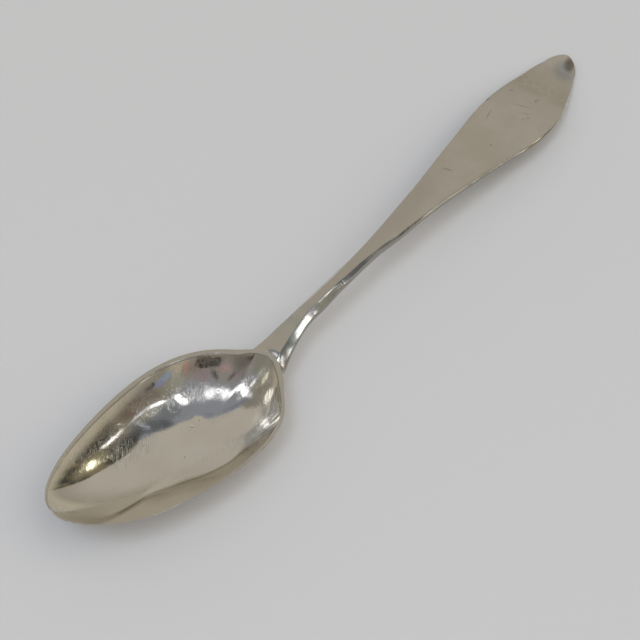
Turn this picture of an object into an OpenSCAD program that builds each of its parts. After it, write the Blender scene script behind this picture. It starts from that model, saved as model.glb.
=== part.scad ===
// Teaspoon with a pointed oval bowl and a plain handle that widens to a pointed end.
// It lies face up on a table at z = 0. X runs along the handle, from the bowl's tip to the
// handle's end, Y runs across and Z is up. The origin is on the table under the middle of
// the spoon's box. The bowl's front edge is worn away on one side, as years of stirring leave it.

/* [Spoon] */
// Length from the bowl's tip to the handle's end
spoon_l = 140; // [120:1:180]

/* [Bowl] */
// Length of the bowl
bowl_l = 45.5; // [38:0.5:56]
// Width of the bowl at its widest
bowl_w = 26.4; // [20:0.2:34]
// Height of the rim above the table at the bowl's tip
tip_h = 11.8; // [9:0.1:16]
// Height of the rim above the table at the heel, where the handle starts
heel_h = 6.8; // [6:0.1:9]
// Width of the flat rim where it is widest
rim_w = 1.1; // [0.8:0.05:1.6]
// Thickness of the metal at the bottom of the bowl
wall_t = 0.9; // [0.6:0.05:1.5]
// Bevel of the rim's outer edge where the rim is widest
rim_bevel = 0.25; // [0.1:0.05:0.35]
// Depth of the flat that wear has left under the bowl
foot_depth = 0.12; // [0.06:0.01:0.3]

/* [Handle] */
// Height of the top of the stem above the table where the handle arches highest
arch_h = 10.8; // [9:0.1:15]
// Width of the stem's top face at its narrowest
stem_w = 1.7; // [1.4:0.1:4]
// Thickness of the stem at its narrowest
stem_t = 3.0; // [2:0.1:4]
// How much the stem's foot stands out past its top face on each side
stem_flare = 0.95; // [0.2:0.05:1.2]
// Width of the top face where it spreads into the bowl's heel
shoulder_w = 6.6; // [4.5:0.1:9]
// Radius of the hollow curve where each shoulder meets the bowl
shoulder_r = 3.1; // [1.5:0.1:6]
// Length of the shoulders along the bowl
shoulder_l = 3.2; // [1.5:0.1:5]
// Width of the handle near its end, at its widest
blade_w = 14.9; // [10:0.1:20]
// Thickness of the handle near its end
blade_t = 1.0; // [0.6:0.05:1.5]
// Length over which the handle's end is rounded off
end_round_l = 3.0; // [1.5:0.1:5]
// Length of the turned-up end
lip_l = 4.6; // [2:0.1:6]
// How far the end turns up
lip_h = 0.7; // [0:0.05:1.2]

/* [Drop on the back of the bowl] */
// Length of the rounded drop that laps under the bowl
drop_l = 9.2; // [6:0.1:13]
// Width of the drop
drop_w = 6.6; // [4:0.1:9]
// Thickness of the drop at its round end
drop_t = 0.7; // [0.4:0.05:1.2]

/* [Hidden] */

silver = [0.77, 0.75, 0.71];
// Overrun of every cut past the metal it cuts
overrun = 1;

// Bowl outline, as shares of its length from the tip and of its half width from its middle, with
// the width of the rim there as a share of its widest. The side with the positive numbers has
// kept its curve, and the other side is the worn one, where the rim is thin.
bowl_outline_shares = [
    [0.000, 0.26, 0.30], [0.018, 0.49, 0.36], [0.07, 0.665, 0.50], [0.165, 0.82, 0.66],
    [0.30, 0.93, 0.80], [0.46, 0.993, 0.92], [0.61, 0.983, 1], [0.735, 0.885, 1],
    [0.83, 0.71, 1], [0.895, 0.505, 1], [0.942, 0.275, 0.95], [0.989, 0.07, 0.64],
    [0.998, -0.17, 0.72], [0.962, -0.42, 1], [0.899, -0.643, 0.62], [0.822, -0.872, 0.63],
    [0.722, -0.984, 0.60], [0.60, -0.992, 0.46], [0.48, -0.935, 0.32], [0.36, -0.83, 0.26],
    [0.245, -0.68, 0.25], [0.145, -0.485, 0.25], [0.065, -0.225, 0.26], [0.015, 0.04, 0.28]
];
// Deepest place of the bowl, as shares of the same two sizes
deepest_share = [0.59, 0.0];
// How round the bowl's sides are, as the share of a half circle that a side follows
round_share = 0.72;
// How quickly the rim climbs from the heel to the tip
rim_sweep = 1.25;
// Steps between two outline points, rings from the rim to the bottom
outline_steps = 3;
bowl_rings = 13;

// Tables of the handle: how far along it, as a share of its own length from the heel to the
// end, then the value there, as a share of what the table sets.
shoulder_shares = [
    [0, 1], [0.025, 0.75], [0.05, 0.56], [0.09, 0.25], [0.13, 0.08], [0.18, 0], [1, 0]
];
blade_shares = [
    [0, 0], [0.18, 0], [0.23, 0.03], [0.28, 0.085], [0.335, 0.195], [0.39, 0.275], [0.46, 0.385],
    [0.52, 0.515], [0.575, 0.64], [0.64, 0.79], [0.70, 0.94], [0.75, 1], [1, 1]
];
// Width kept towards the pointed end, before its rounding
end_shares = [
    [0, 1], [0.77, 1], [0.81, 0.965], [0.85, 0.88], [0.89, 0.766], [0.93, 0.648], [0.965, 0.495],
    [1, 0.36]
];
// Sideways wander of the handle's middle line, as a share of the blade's half width
wander_shares = [
    [0, 0.115], [0.05, 0.16], [0.09, 0.158], [0.13, 0.097], [0.18, 0.042], [0.24, -0.005],
    [0.29, -0.035], [0.345, -0.065], [0.40, -0.053], [0.50, -0.025], [0.60, -0.005],
    [0.70, -0.005], [0.77, 0.025], [0.83, 0.09], [0.87, 0.17], [0.90, 0.24], [0.94, 0.33],
    [0.975, 0.385], [1, 0.42]
];
// Climb of the top face from the heel to the arch, and its fall from the arch to the end
climb_shares = [
    [0, 0], [0.02, 0.06], [0.05, 0.22], [0.09, 0.50], [0.13, 0.76], [0.18, 0.95], [0.24, 1], [1, 1]
];
fall_shares = [
    [0, 1], [0.24, 1], [0.36, 0.93], [0.575, 0.68], [0.735, 0.46], [0.84, 0.275], [0.90, 0.122],
    [0.94, 0.045], [0.975, 0], [1, 0]
];
// How far the end is rounded towards a point, where 1 is all the way
end_keen = 0.985;
// How evenly the end turns up, from 1 for a straight bend
lip_sweep = 1.8;
// Thickness from the stem's at 1 to the blade's at 0, and the flare of its foot
thick_shares = [
    [0, 1], [0.26, 1], [0.33, 0.84], [0.4, 0.60], [0.48, 0.42], [0.58, 0.28], [0.7, 0.10],
    [0.8, 0.02], [0.88, 0], [1, 0]
];
flare_shares = [
    [0, 0], [0.06, 0.25], [0.11, 0.75], [0.15, 1], [0.19, 1], [0.24, 0.65], [0.30, 0.22],
    [0.36, 0.02], [0.42, 0], [1, 0]
];
// Back line of the neck: how far from the drop's end to the arch, then its climb
back_shares = [
    [0, 0], [0.06, 0.05], [0.12, 0.14], [0.24, 0.38], [0.37, 0.56], [0.5, 0.69], [0.62, 0.81],
    [0.75, 0.93], [0.87, 0.985], [1, 1]
];
// Width of the drop from its round end to the heel
drop_shares = [[0, 0.16], [0.06, 0.48], [0.15, 0.72], [0.3, 0.90], [0.5, 0.98], [0.7, 1], [1, 1]];
// Depth down a section at which its foot is widest
foot_share = 0.6;
// How square the underside of a section is, from 1 for round to 0 for square
underside_share = 0.62;
// Where the arch is highest, as a share of the handle's length
arch_share = 0.24;
// How far the handle's line lies beside the bowl's middle, as a share of the bowl's half width
aside_share = 0.167;
// Points across a section's top face and steps round its underside
top_steps = 6;
under_steps = 14;
// Sections of the handle from the drop to the arch, and from the arch to the end, and how much
// closer they stand towards the end
neck_sections = 30;
blade_sections = 44;
section_crowding = 1.8;

// Heel of the bowl and the spoon's two ends along X, and the height of the stem's underside
tip_x = -spoon_l / 2;
heel_x = tip_x + bowl_l;
end_x = spoon_l / 2;
handle_l = spoon_l - bowl_l;
drop_x = heel_x - drop_l;
arch_x = heel_x + arch_share * handle_l;
arch_back_h = arch_h - stem_t;
handle_y = -aside_share * bowl_w / 2;

// Smooth value at x of a table of points, through every point and level where it turns
function between(p, x, i = 0) = i >= len(p) - 2 || x < p[i + 1][0] ? i : between(p, x, i + 1);
function chord(p, i) = (p[i + 1][1] - p[i][1]) / (p[i + 1][0] - p[i][0]);
function turn(p, i) =
    i == 0 ? chord(p, 0)
    : i == len(p) - 1 ? chord(p, i - 1)
    : chord(p, i - 1) * chord(p, i) <= 0 ? 0
    : 2 / (1 / chord(p, i - 1) + 1 / chord(p, i));
function smooth(p, x) =
    let (
        i = between(p, x),
        run = p[i + 1][0] - p[i][0],
        t = max(0, min(1, (x - p[i][0]) / run)),
        a = turn(p, i) * run,
        b = turn(p, i + 1) * run,
        rise = p[i + 1][1] - p[i][1]
    )
    p[i][1] + t * (a + t * (3 * rise - 2 * a - b + t * (a + b - 2 * rise)));

// Closed curve through every point of a loop
function loop_at(p, i, t) =
    let (n = len(p), a = p[(i + n - 1) % n], b = p[i], c = p[(i + 1) % n], d = p[(i + 2) % n])
    b + t / 2 * (c - a + t * (2 * a - 5 * b + 4 * c - d + t * (3 * b - a - 3 * c + d)));
function closed_curve(p, steps) =
    [for (i = [0:len(p) - 1]) for (k = [0:steps - 1]) loop_at(p, i, k / steps)];

// A loop moved inwards, by the distance that a list gives for each point
function inset(p, d) =
    let (n = len(p))
    [
        for (i = [0:n - 1])
        let (run = p[(i + 1) % n] - p[(i + n - 1) % n])
        p[i] + d[i] * [run.y, -run.x] / norm(run)
    ];

// Bowl: outline, rim, deepest place, height of the rim over x, and the rounding of the sides
bowl_line = closed_curve(bowl_outline_shares, outline_steps);
bowl_outer = [for (s = bowl_line) [tip_x + s.x * bowl_l, s.y * bowl_w / 2]];
rim_widths = [for (s = bowl_line) s.z * rim_w];
rim_bevels = [for (s = bowl_line) s.z * rim_bevel];
bowl_inner = inset(bowl_outer, rim_widths);
deepest = [tip_x + deepest_share.x * bowl_l, deepest_share.y * bowl_w / 2];
function rim_z(x) =
    heel_h + (tip_h - heel_h) * pow(max(0, (heel_x - x) / bowl_l), rim_sweep);
function side_rise(s) =
    (1 - sqrt(1 - pow(round_share * s, 2))) / (1 - sqrt(1 - pow(round_share, 2)));
// How much of the rim's bevel is left where the handle's shoulders lie against it
function bevel_left(x) = max(0, min(1, (heel_x - x) / (2 * rim_w) - 1));

// One ring of the bowl's skin, from the deepest place at 0 to the given loop at 1
function skin_ring(loop, floor_z, drop_at_rim, s) =
    [
        for (i = [0:len(loop) - 1])
        let (edge = loop[i], at = deepest + s * (edge - deepest))
        [at.x, at.y, floor_z + (rim_z(bowl_outer[i].x) - drop_at_rim[i] - floor_z) * side_rise(s)]
    ];
function flat_ring(loop, sink) =
    [for (i = [0:len(loop) - 1]) [loop[i].x, loop[i].y, rim_z(bowl_outer[i].x) - sink[i]]];

// Closed skin over a stack of rings, with a point at each end
function ring_faces(rings, n) =
    [
        for (j = [0:rings - 2]) for (i = [0:n - 1])
        let (a = j * n + i, b = j * n + (i + 1) % n)
        each [[a, b, b + n], [a, b + n, a + n]]
    ];
module skin(rings, first, last) {
    n = len(rings[0]);
    count = len(rings);
    points = concat([for (r = rings) each r], [first, last]);
    caps = [
        for (i = [0:n - 1])
        each [
            [count * n, (i + 1) % n, i],
            [count * n + 1, (count - 1) * n + i, (count - 1) * n + (i + 1) % n]
        ]
    ];
    polyhedron(points, concat(ring_faces(count, n), caps));
}

ring_shares = [for (k = [1:bowl_rings]) sin(90 * k / bowl_rings)];
bevels = [for (i = [0:len(bowl_outer) - 1]) rim_bevels[i] * bevel_left(bowl_outer[i].x)];
none = [for (p = bowl_outer) 0];

module dish() {
    outside = [for (s = ring_shares) skin_ring(bowl_outer, -foot_depth, bevels, s)];
    rim = [
        flat_ring(inset(bowl_outer, rim_bevels), none),
        flat_ring(bowl_inner, none)
    ];
    inside = [
        for (k = [bowl_rings - 1:-1:1])
        skin_ring(bowl_inner, wall_t - foot_depth, none, ring_shares[k - 1])
    ];
    skin(
        concat(outside, rim, inside),
        [deepest.x, deepest.y, -foot_depth],
        [deepest.x, deepest.y, wall_t - foot_depth]
    );
}

// Everything inside the bowl's outer skin and above its rim, which the handle keeps out of
module bowl_space() {
    outside = [for (s = ring_shares) skin_ring(bowl_outer, -foot_depth, bevels, s)];
    above = [for (p = bowl_outer) -stem_t];
    skin(
        concat(outside, [flat_ring(bowl_outer, above)]),
        [deepest.x, deepest.y, -foot_depth],
        [deepest.x, deepest.y, tip_h + stem_t]
    );
}

module bowl() {
    color(silver)
    difference() {
        dish();
        translate([tip_x, -bowl_w / 2, -overrun])
        cube([bowl_l, bowl_w, overrun]);
    }
}

// Handle: middle line, widths, heights and thickness at x
function along(x) = max(0, (x - heel_x) / handle_l);
function middle_y(x) = handle_y + smooth(wander_shares, along(x)) * blade_w / 2;
function end_rounding(x) = sqrt(1 - pow(end_keen * max(0, 1 - (end_x - x) / end_round_l), 2));
function half_top(x) =
    let (
        u = along(x),
        stem = stem_w / 2 + smooth(shoulder_shares, u) * (shoulder_w - stem_w) / 2,
        blade = smooth(blade_shares, u) * (blade_w - stem_w) / 2
    )
    x < heel_x - shoulder_l ? half_foot(x)
    : x < heel_x ? shoulder_w / 2 + pow(heel_x - x, 2) / (2 * shoulder_r)
    : (stem + blade) * smooth(end_shares, u) * end_rounding(x);
function half_foot(x) =
    x < heel_x
    ? drop_w / 2 * smooth(drop_shares, (x - drop_x) / drop_l)
    : min(drop_w / 2, half_top(x) + stem_flare * smooth(flare_shares, along(x)));
function lip_z(x) = lip_h * pow(max(0, 1 - (end_x - x) / lip_l), lip_sweep);
function top_z(x) =
    let (u = along(x))
    x < heel_x ? rim_z(x)
    : u < arch_share ? heel_h + (arch_h - heel_h) * smooth(climb_shares, u)
    : blade_t + (arch_h - blade_t) * smooth(fall_shares, u) + lip_z(x);
function drop_end_z() =
    heel_h * side_rise((drop_x - deepest.x) / (heel_x - deepest.x)) - foot_depth - drop_t;
function back_z(x) =
    x < arch_x
    ? drop_end_z() + (arch_back_h - drop_end_z()) * smooth(back_shares, (x - drop_x) / (arch_x - drop_x))
    : top_z(x) - blade_t - (stem_t - blade_t) * smooth(thick_shares, along(x));

// One section of the handle: across its top face, then round its underside
function section(x) =
    let (
        a = half_top(x),
        b = x < heel_x ? half_foot(x) : max(half_foot(x), a),
        y = middle_y(x),
        top = top_z(x),
        deep = top - back_z(x),
        over = [for (k = [0:top_steps]) [x, y + a * (2 * k / top_steps - 1), top]],
        under = [
            for (k = [1:under_steps - 1])
            let (
                turn = 180 * k / under_steps,
                down = pow(sin(turn), underside_share),
                out = pow(abs(cos(turn)), underside_share) * sign(cos(turn)),
                widen = sin(90 * min(1, down / foot_share))
            )
            [x, y + out * (a + (b - a) * widen), top - deep * down]
        ]
    )
    concat(over, under);

neck_x = [for (k = [0:neck_sections]) drop_x + (arch_x - drop_x) * k / neck_sections];
blade_x = [
    for (k = [1:blade_sections])
    end_x - (end_x - arch_x) * pow(1 - k / blade_sections, section_crowding)
];

module handle() {
    stations = concat(neck_x, blade_x);
    sections = [for (x = stations) section(x)];
    color(silver)
    difference() {
        skin(
            sections,
            [drop_x, middle_y(drop_x), (top_z(drop_x) + back_z(drop_x)) / 2],
            [end_x, middle_y(end_x), (top_z(end_x) + back_z(end_x)) / 2]
        );
        bowl_space();
    }
}

bowl();
handle();
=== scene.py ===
# %% [markdown]
# # An old silver teaspoon, face up on a pale table
#
# The spoon has two pieces of metal: a bowl hammered to a pointed oval, and a handle forged from
# a bar and soldered under the bowl. Both are bright from use, so nearly all that the eye sees on
# them is a reflection of the room. This lesson therefore has three parts of equal weight: skins
# that are smooth enough to mirror well, a silver that is worn in the right places, and a room
# worth reflecting.
#
# The measured model comes in first and stays as it is. The spoon's own length, widths and heights
# are read from it, so that the finished skins take the same place.

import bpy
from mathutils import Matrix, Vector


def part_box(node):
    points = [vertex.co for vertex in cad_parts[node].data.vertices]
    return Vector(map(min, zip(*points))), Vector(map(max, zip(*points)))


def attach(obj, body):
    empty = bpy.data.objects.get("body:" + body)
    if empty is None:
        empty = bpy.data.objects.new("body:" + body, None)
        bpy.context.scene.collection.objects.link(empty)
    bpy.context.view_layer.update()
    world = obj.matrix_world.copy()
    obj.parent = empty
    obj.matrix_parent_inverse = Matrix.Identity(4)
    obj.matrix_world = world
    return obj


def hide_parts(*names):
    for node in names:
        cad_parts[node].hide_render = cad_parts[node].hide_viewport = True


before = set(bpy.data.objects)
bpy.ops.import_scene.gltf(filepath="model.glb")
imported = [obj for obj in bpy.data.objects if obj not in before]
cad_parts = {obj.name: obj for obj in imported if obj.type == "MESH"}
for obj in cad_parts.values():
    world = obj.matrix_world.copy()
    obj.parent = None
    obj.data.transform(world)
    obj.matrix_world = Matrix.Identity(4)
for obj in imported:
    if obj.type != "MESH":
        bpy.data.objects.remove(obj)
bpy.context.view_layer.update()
bowl_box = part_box("bowl")
handle_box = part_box("handle")

# %% Tools and units
import math

import bpy
import numpy as np
from mathutils import Matrix, Vector, noise

MM = 0.001
PX = 640


def millimetres(*values):
    """Lengths as text, in the unit that a silversmith reads."""
    return ", ".join(f"{v / MM:.2f} mm" for v in values)


print("bowl and handle reach", millimetres(bowl_box[1].z, handle_box[1].z))

# %% [markdown]
# ## Lengths of the two pieces
#
# The ends, the widest place and the highest places are read from the measured model. The few
# sizes that a box can't tell, such as the width of the rim, are given by name. A handful of
# tables hold the curves of the spoon: each one is a list of (share of the length, share of a
# size), with a smooth line drawn through its points.

# %% Sizes from the measured model
tip_x = bowl_box[0].x
end_x = handle_box[1].x
spoon_l = end_x - tip_x
bowl_half = (bowl_box[1].y - bowl_box[0].y) / 2
tip_h = bowl_box[1].z
arch_h = handle_box[1].z
drop_x = handle_box[0].x

bowl_l = 45.5 / 140 * spoon_l
heel_x = tip_x + bowl_l
handle_l = end_x - heel_x
drop_l = heel_x - drop_x
print("bowl", millimetres(bowl_l, 2 * bowl_half), "handle", millimetres(handle_l))

# %% Sizes given by name
heel_h = 6.8 * MM
rim_w = 1.1 * MM
rim_round = 0.32 * MM
rim_inner_round = 0.32 * MM
rim_crown = 0.05 * MM
wall_t = 0.9 * MM
foot_depth = 0.12 * MM

stem_half = 0.85 * MM
stem_t = 3.0 * MM
stem_flare = 0.95 * MM
shoulder_half = 3.3 * MM
shoulder_r = 3.1 * MM
shoulder_l = 3.2 * MM
neck_fillet_h = 0.62 * MM
neck_fillet_l = 2.3 * MM
neck_half = 5.6 * MM
neck_aside = 2.4 * MM
blade_half = 7.45 * MM
blade_t = 1.0 * MM
end_round_l = 3.0 * MM
lip_l = 4.6 * MM
lip_h = 0.7 * MM
drop_half = 3.3 * MM
drop_t = 0.7 * MM
edge_bevel = 0.34 * MM
arch_share = 0.24
aside_share = 0.167
print("rim", millimetres(rim_w), "stem", millimetres(2 * stem_half, stem_t))

# %% [markdown]
# ## Smooth lines through a few points
#
# A designer would draw these lines with a spline. `through` is the same thing for a table: a
# cubic that passes every point and never overshoots between two of them, which matters for metal,
# because an overshoot of a tenth of a millimetre shows as a bent reflection. `closed_line` does
# it for a loop, and then averages it over a short run, because the eye sees even a change of
# curvature in a mirror.

# %% Curves
def through(table, x):
    """Smooth values at x through the points of a table."""
    px, py = np.array(table, float).T
    chord = np.diff(py) / np.diff(px)
    slope = np.concatenate([chord[:1], np.zeros(len(px) - 2), chord[-1:]])
    same = chord[:-1] * chord[1:] > 0
    inner = 2 * chord[:-1] * chord[1:] / np.where(same, chord[:-1] + chord[1:], 1)
    slope[1:-1] = np.where(same, inner, 0)
    x = np.clip(np.asarray(x, float), px[0], px[-1])
    i = np.clip(np.searchsorted(px, x, side="right") - 1, 0, len(px) - 2)
    run = px[i + 1] - px[i]
    t = (x - px[i]) / run
    rise = py[i + 1] - py[i]
    a, b = slope[i] * run, slope[i + 1] * run
    return py[i] + t * (a + t * (3 * rise - 2 * a - b + t * (a + b - 2 * rise)))


def closed_line(points, steps, soften):
    """Dense closed line through every point, averaged over `soften` of its steps each way."""
    p = np.array(points, float)
    a, b, c, d = np.roll(p, 1, 0), p, np.roll(p, -1, 0), np.roll(p, -2, 0)
    t = (np.arange(steps) / steps)[None, :, None]
    a, b, c, d = (v[:, None, :] for v in (a, b, c, d))
    line = b + t / 2 * (c - a + t * (2 * a - 5 * b + 4 * c - d + t * (3 * b - a - 3 * c + d)))
    line = line.reshape(-1, p.shape[-1])
    window = np.hanning(2 * soften + 3)[1:-1]
    rolled = [np.roll(line, k, 0) * w for k, w in zip(range(-soften, soften + 1), window)]
    return sum(rolled) / window.sum()


def inset(loop, depth):
    """A closed loop moved inwards, by one depth or by one for each point."""
    run = np.roll(loop, -1, 0) - np.roll(loop, 1, 0)
    side = np.stack([run[:, 1], -run[:, 0]], 1) / np.linalg.norm(run, axis=1)[:, None]
    return loop + side * np.reshape(depth, (-1, 1))


print("half way through (0, 0), (1, 1), (2, 0):", through([(0, 0), (1, 1), (2, 0)], 0.5))


# %% [markdown]
# Both pieces are skins over a stack of rings. The rings have equally many points, so faces join
# each ring to the next one, and a fan of triangles closes the stack at either end.

# %% Skins from stacked rings
def skin(name, rings, start, finish):
    """A closed, smooth mesh over a stack of rings, with a point at each end."""
    count, n = len(rings), len(rings[0])
    points = np.vstack([np.concatenate(rings), [start, finish]])
    faces = []
    for j in range(count - 1):
        a = j * n + np.arange(n)
        b = j * n + (np.arange(n) + 1) % n
        faces += np.stack([a, a + n, b + n, b], 1).tolist()
    last = (count - 1) * n
    for i in range(n):
        faces.append([count * n, i, (i + 1) % n])
        faces.append([count * n + 1, last + (i + 1) % n, last + i])
    mesh = bpy.data.meshes.new(name)
    mesh.from_pydata(points.tolist(), [], faces)
    mesh.shade_smooth()
    piece = bpy.data.objects.new(name, mesh)
    bpy.context.scene.collection.objects.link(piece)
    return piece


# %% [markdown]
# ## The bowl
#
# Two skins and a rim. Each skin is a stack of rings that run from the deepest place out to the
# rim, and the rise from ring to ring follows part of a circle, as a bowl that was sunk with
# a hammer does. The outline isn't symmetric: years of stirring with one hand have worn the front
# edge away on one side. The loop of points below holds that lean: each row is a share of the
# bowl's length, of its half width and of the rim's full width at that point.
#
# A revolved or scaled ellipse would have been quicker, but a spoon without its wear is a
# different spoon.

# %% Outline and deepest place of the bowl
BOWL_OUTLINE = [
    (0.000, 0.26, 0.30), (0.018, 0.49, 0.36), (0.07, 0.665, 0.50), (0.165, 0.82, 0.66),
    (0.30, 0.93, 0.80), (0.46, 0.993, 0.92), (0.61, 0.983, 1), (0.735, 0.885, 1),
    (0.83, 0.71, 1), (0.895, 0.505, 1), (0.942, 0.275, 0.95), (0.989, 0.07, 0.64),
    (0.998, -0.17, 0.72), (0.962, -0.42, 1), (0.899, -0.643, 0.62), (0.822, -0.872, 0.63),
    (0.722, -0.984, 0.60), (0.60, -0.992, 0.46), (0.48, -0.935, 0.32), (0.36, -0.83, 0.26),
    (0.245, -0.68, 0.25), (0.145, -0.485, 0.25), (0.065, -0.225, 0.26), (0.015, 0.04, 0.28),
]
DEEPEST = (0.59, 0.0)
ROUND_SHARE = 0.72
RIM_SWEEP = 1.25

outline = closed_line(BOWL_OUTLINE, steps=18, soften=6)
rim_share = outline[:, 2]
outline = np.array([tip_x, 0]) + outline[:, :2] * [bowl_l, bowl_half]
deepest = np.array([tip_x + DEEPEST[0] * bowl_l, DEEPEST[1] * bowl_half])
print("points round the rim:", len(outline))

# %% [markdown]
# The rim climbs from the heel to the tip in one slow sweep. The sides rise from the deepest place
# along part of a circle: `ROUND_SHARE` is how much of a quarter turn's width they use.

# %% Height of the rim and rise of the sides
def rim_z(x):
    """Height of the rim above the table at x."""
    return heel_h + (tip_h - heel_h) * np.maximum(0, (heel_x - x) / bowl_l) ** RIM_SWEEP


def side_rise(s):
    """Rise of the sides, from 0 at the deepest place to 1 at the rim."""
    full = 1 - math.sqrt(1 - ROUND_SHARE**2)
    return (1 - np.sqrt(1 - (ROUND_SHARE * np.asarray(s)) ** 2)) / full


print("rim at the tip and at the heel:", millimetres(rim_z(tip_x), rim_z(heel_x)))

# %% [markdown]
# On the worn side the bottom of the bowl stays shallow, turns up at a soft crease and goes on
# straight to the rim. A mirror shows that crease as a thin dark line, because the picture of the
# far rim is squeezed into it. `CREASE` tells where it lies, from the deepest place at 0 to the rim
# at 1, counted in points round the outline.

# %% Crease on the worn side
CREASE = [
    (0, 0.97), (13.4, 0.95), (14.6, 0.88), (15.4, 0.76), (16.4, 0.66), (17, 0.64), (18.2, 0.56),
    (20, 0.47), (21.5, 0.50), (22.3, 0.60), (23, 0.80), (24, 0.97),
]
CREASED = [(0, 0), (15.2, 0), (17.2, 1), (21.4, 1), (22.4, 0), (24, 0)]
SHALLOW_FROM = 0.29
CREASE_SOFT = 0.03
SOFT_SAMPLES = 9
END_SOFT = 0.1

round_the_rim = np.arange(len(outline)) * len(BOWL_OUTLINE) / len(outline)
crease = through(CREASE, round_the_rim)
creased_share = through(CREASED, round_the_rim)
shallow_slope = (side_rise(SHALLOW_FROM + CREASE_SOFT) - side_rise(SHALLOW_FROM)) / CREASE_SOFT


def creased_rise(s):
    """Rise at s with a shallow bottom up to the crease and a straight wall above it."""
    at_crease = side_rise(SHALLOW_FROM) + shallow_slope * (crease - SHALLOW_FROM)
    bottom = side_rise(min(s, SHALLOW_FROM)) + shallow_slope * max(0, s - SHALLOW_FROM)
    wall = at_crease + (1 - at_crease) * (s - crease) / (1 - crease)
    return np.where(s < crease, bottom, wall)


def bowl_ring(edge, floor_z, sink, s):
    """One ring of a skin, from the deepest place at 0 to the given edge at 1."""
    at = deepest + s * (edge - deepest)
    soft = CREASE_SOFT * min(1, s / END_SOFT, (1 - s) / END_SOFT)
    nearby = s + soft * np.linspace(-1, 1, SOFT_SAMPLES)
    creased = np.mean([creased_rise(near) for near in nearby], 0)
    rise = (1 - creased_share) * side_rise(s) + creased_share * creased
    z = floor_z + (rim_z(outline[:, 0]) - sink - floor_z) * rise
    return np.column_stack([at, z])


print("way up to the crease, least and most:", crease.min().round(2), crease.max().round(2))

# %% [markdown]
# The inside of an old bowl isn't a perfect mirror shape: polishing leaves long, low waves and
# use leaves short ones. They are only hundredths of a millimetre deep, but a slope of one degree
# already moves a reflection by two, so they're worth having as real geometry.

# %% Waves in the metal
LONG_WAVES = {"depth": 0.018 * MM, "length": 9.0 * MM, "seed": 1}
SHORT_WAVES = {"depth": 0.004 * MM, "length": 2.2 * MM, "seed": 2}


def waves(points, depth, length, seed):
    """Low smooth waves over a set of points, of about the given depth and length."""
    shift = Vector((seed * 7.3, seed * 3.1, seed * 1.7))
    return np.array([depth * noise.noise(Vector(p) / length + shift) for p in points])


def wavy(ring, weight=1.0):
    """A ring with the waves that polishing and use have left in it."""
    ring = ring.copy()
    for kind in (LONG_WAVES, SHORT_WAVES):
        ring[:, 2] += weight * waves(ring, **kind)
    return ring


print("long waves:", millimetres(LONG_WAVES["depth"], LONG_WAVES["length"]))

# %% [markdown]
# The rim is the top of the bowl's wall, filed flat with a slight crown. Wear has rounded both
# its edges and narrowed it, most of all on the worn side and at the tip.

# %% Rings of the rim
ROUND_STEPS, CROWN_STEPS = 6, 7
heel_fade = np.clip((heel_x - outline[:, 0]) / (2 * rim_w) - 1, 0, 1)
rim_width = rim_w * rim_share
outer_round = rim_round * rim_share * heel_fade
inner_round = rim_inner_round * rim_share
inner_edge = inset(outline, rim_width)


def rim_ring(across, sink):
    """One ring of the rim, inset from the outline by `across` and below its height by `sink`."""
    return np.column_stack([inset(outline, across), rim_z(outline[:, 0]) - sink])


turns = math.pi / 2 * np.arange(1, ROUND_STEPS + 1) / ROUND_STEPS
rim_rings = []
for t in turns:
    rim_rings.append(rim_ring(outer_round * (1 - math.cos(t)), outer_round * (1 - math.sin(t))))
flat = rim_width - outer_round - inner_round
for k in range(1, CROWN_STEPS):
    share = k / CROWN_STEPS
    crown = 4 * share * (1 - share) * rim_crown * rim_share
    rim_rings.append(rim_ring(outer_round + share * flat, -crown))
for t in [0, *turns]:
    across = rim_width - inner_round * (1 - math.sin(t))
    rim_rings.append(rim_ring(across, inner_round * (1 - math.cos(t))))
print("rings across the rim:", len(rim_rings))

# %% [markdown]
# Now the whole bowl is one stack: the outside from the deepest place up, the rim, and the inside
# down again. The rings crowd towards the rim, where the metal curves most. Heights below zero
# are cut off outside, which leaves the small worn flat that a spoon stands on.

# %% Build the bowl
OUT_RINGS, IN_RINGS = 44, 104
out_shares = np.sin(np.linspace(0, math.pi / 2, OUT_RINGS + 1))[1:]
in_shares = np.sin(np.linspace(0, math.pi / 2, IN_RINGS + 1))[1:][::-1]
outside = [bowl_ring(outline, -foot_depth, outer_round, s) for s in out_shares]
for ring in outside:
    ring[:, 2] = np.maximum(ring[:, 2], 0)
floor_z = wall_t - foot_depth
inside = [wavy(bowl_ring(inner_edge, floor_z, inner_round, s), 1 - s**6) for s in in_shares[1:]]
bottom = np.array([[*deepest, floor_z]])
bowl = skin("bowl_silver", outside + rim_rings + inside, [*deepest, 0], wavy(bottom)[0])
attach(bowl, "root")
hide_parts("bowl")
print("bowl faces:", len(bowl.data.polygons))

# %% [markdown]
# The rim is a little rougher than the inside, because fingers and cloths rub it more, and its
# top gets a warmer, darker colour: a painted reflection. A mark on its points, an attribute, tells
# the material where it is.

# %% Mark the rim
rim_start = OUT_RINGS * len(outline)
rim_end = rim_start + len(rim_rings) * len(outline)
rim_mark = bowl.data.attributes.new("rim", "FLOAT", "POINT")
for k in range(rim_start, rim_end):
    rim_mark.data[k].value = 1.0
print("points on the rim:", rim_end - rim_start)

# %% [markdown]
# ## The handle
#
# One long loft: a section about every half millimetre, each with a flat top, two small rounded
# edges and a rounded underside. The tables give the width, the height and the thickness along
# it. It starts as a rounded drop under the bowl, spreads in two hollow shoulders to the bowl's
# rim, runs over the arch as a slim stem and widens to a flat blade with a blunt end.

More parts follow.
